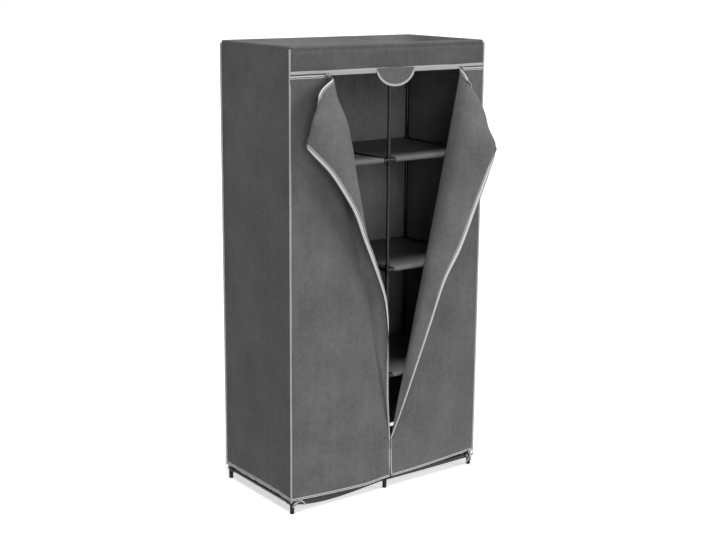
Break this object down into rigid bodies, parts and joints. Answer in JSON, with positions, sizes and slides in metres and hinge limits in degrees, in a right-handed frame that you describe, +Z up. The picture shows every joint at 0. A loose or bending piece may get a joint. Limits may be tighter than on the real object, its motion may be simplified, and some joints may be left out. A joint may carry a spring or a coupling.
{
  "type": "portable fabric wardrobe",
  "caption": "Free-standing wardrobe: a plug-together tube frame with a hanging bay and a shelf bay inside a zipped cloth cover, its front flaps unzipped and turned back.",
  "frame": {"origin": "on the floor under the middle of the part's outer box, turned-back flaps included", "axes": "+X to the right of a person facing the front, +Y from the front to the back, +Z up"},
  "size_m": [0.8854, 0.5652, 1.7],
  "materials": {
    "frame_paint": "semi-gloss black",
    "cover_cloth": "matt dark grey non-woven cloth",
    "shelf_cloth": "matt dark grey non-woven cloth",
    "ribbon": "matt light grey ribbon",
    "zip_coil": "satin dark nylon coil",
    "slider_metal": "satin plated zinc"
  },
  "bodies": {
    "frame_and_cover": {"post_front_left": "frame_paint", "post_front_center": "frame_paint", "post_front_right": "frame_paint", "post_back_left": "frame_paint", "post_back_center": "frame_paint", "post_back_right": "frame_paint", "rail_bottom_front_left": "frame_paint", "rail_bottom_front_right": "frame_paint", "rail_bottom_back_left": "frame_paint", "rail_bottom_back_right": "frame_paint", "rail_bottom_side_left": "frame_paint", "rail_bottom_side_center": "frame_paint", "rail_bottom_side_right": "frame_paint", "rail_lower_front_right": "frame_paint", "rail_lower_back_right": "frame_paint", "rail_lower_side_center": "frame_paint", "rail_lower_side_right": "frame_paint", "rail_middle_front_right": "frame_paint", "rail_middle_back_right": "frame_paint", "rail_middle_side_center": "frame_paint", "rail_middle_side_right": "frame_paint", "rail_hat_front_left": "frame_paint", "rail_hat_front_right": "frame_paint", "rail_hat_back_left": "frame_paint", "rail_hat_back_right": "frame_paint", "rail_hat_side_left": "frame_paint", "rail_hat_side_center": "frame_paint", "rail_hat_side_right": "frame_paint", "rail_top_front_left": "frame_paint", "rail_top_front_right": "frame_paint", "rail_top_back_left": "frame_paint", "rail_top_back_right": "frame_paint", "rail_top_side_left": "frame_paint", "rail_top_side_center": "frame_paint", "rail_top_side_right": "frame_paint", "hanging_rod": "frame_paint", "floor_panel_left": "shelf_cloth", "floor_panel_right": "shelf_cloth", "shelf_lower": "shelf_cloth", "shelf_middle": "shelf_cloth", "hat_shelf_left": "shelf_cloth", "hat_shelf_right": "shelf_cloth", "cover_top_panel": "cover_cloth", "cover_side_left": "cover_cloth", "cover_side_right": "cover_cloth", "cover_back_panel": "cover_cloth", "cover_valance": "cover_cloth", "front_panel_left": "cover_cloth", "front_panel_right": "cover_cloth", "zip_middle_closed": "zip_coil", "tie_front_left": "ribbon", "tie_front_right": "ribbon", "tie_back_left": "ribbon", "tie_back_right": "ribbon"},
    "left_flap": {"flap_left": "cover_cloth"},
    "right_flap": {"flap_right": "cover_cloth"},
    "tab": {"zip_tab": "cover_cloth"},
    "slider_left": {"zip_slider_left": "slider_metal"},
    "slider_right": {"zip_slider_right": "slider_metal"},
    "slider_middle": {"zip_slider_middle": "slider_metal"}
  },
  "joints": [
    {"name": "left_flap_fold", "type": "hinge", "parent": "frame_and_cover", "child": "left_flap", "pos_m": [0.018, -0.16691, 0.188], "axis": [-0.2034, 0, 0.9791], "range_deg": [-8, 30]},
    {"name": "right_flap_fold", "type": "hinge", "parent": "frame_and_cover", "child": "right_flap", "pos_m": [0.018, -0.16691, 0.188], "axis": [0.2114, 0, 0.9774], "range_deg": [-60, 3]},
    {"name": "tab_lift", "type": "hinge", "parent": "frame_and_cover", "child": "tab", "pos_m": [0.018, -0.16766, 1.60335], "axis": [-1, 0, 0], "range_deg": [0, 110]},
    {"name": "left_zip_slide", "type": "slide", "parent": "frame_and_cover", "child": "slider_left", "axis": [-1, 0, 0], "range_m": [0, 0.145]},
    {"name": "right_zip_slide", "type": "slide", "parent": "frame_and_cover", "child": "slider_right", "axis": [1, 0, 0], "range_m": [0, 0.098]},
    {"name": "middle_zip_slide", "type": "slide", "parent": "frame_and_cover", "child": "slider_middle", "axis": [0, 0, -1], "range_m": [0, 0.12]}
  ]
}
